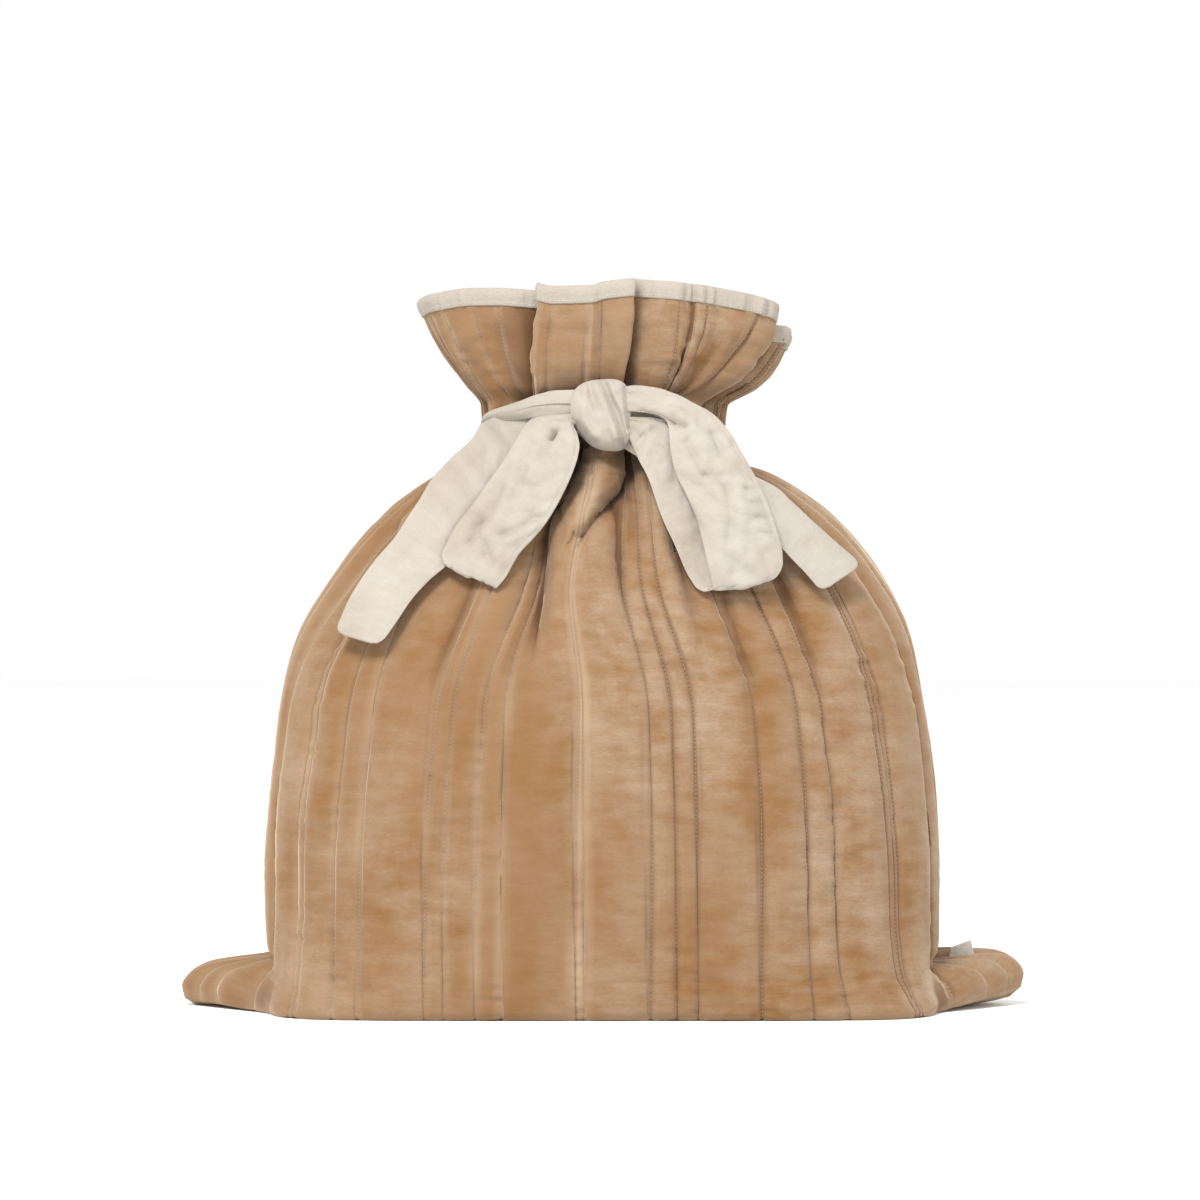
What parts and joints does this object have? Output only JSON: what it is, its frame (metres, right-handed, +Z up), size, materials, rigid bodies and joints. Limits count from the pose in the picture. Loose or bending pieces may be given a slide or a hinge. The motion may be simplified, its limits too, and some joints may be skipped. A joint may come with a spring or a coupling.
{
  "type": "tie-neck quilted sack",
  "caption": "Soft quilted velvet sack, gathered by a tie with a bow under its flared mouth, for keeping and carrying soft things.",
  "frame": {"origin": "on the floor under the middle of the sack, at the bottom centre of its bounding box", "axes": "+Z up, +X from the left bottom corner to the right one, the bow faces -Y"},
  "size_m": [0.6, 0.2729, 0.5123],
  "materials": {
    "velvet": "quilted cotton velvet, tan",
    "tie_velvet": "soft cotton velvet, cream",
    "binding": "cotton bias binding, cream",
    "label": "woven tape, cream"
  },
  "bodies": {
    "root": {"front_panel": "velvet", "back_panel": "velvet", "mouth_binding": "binding", "tie_band": "tie_velvet", "tie_knot": "tie_velvet", "tie_loop_left": "tie_velvet", "tie_loop_right": "tie_velvet", "tie_tail_left": "tie_velvet", "tie_tail_right": "tie_velvet", "side_label": "label"}
  },
  "joints": []
}
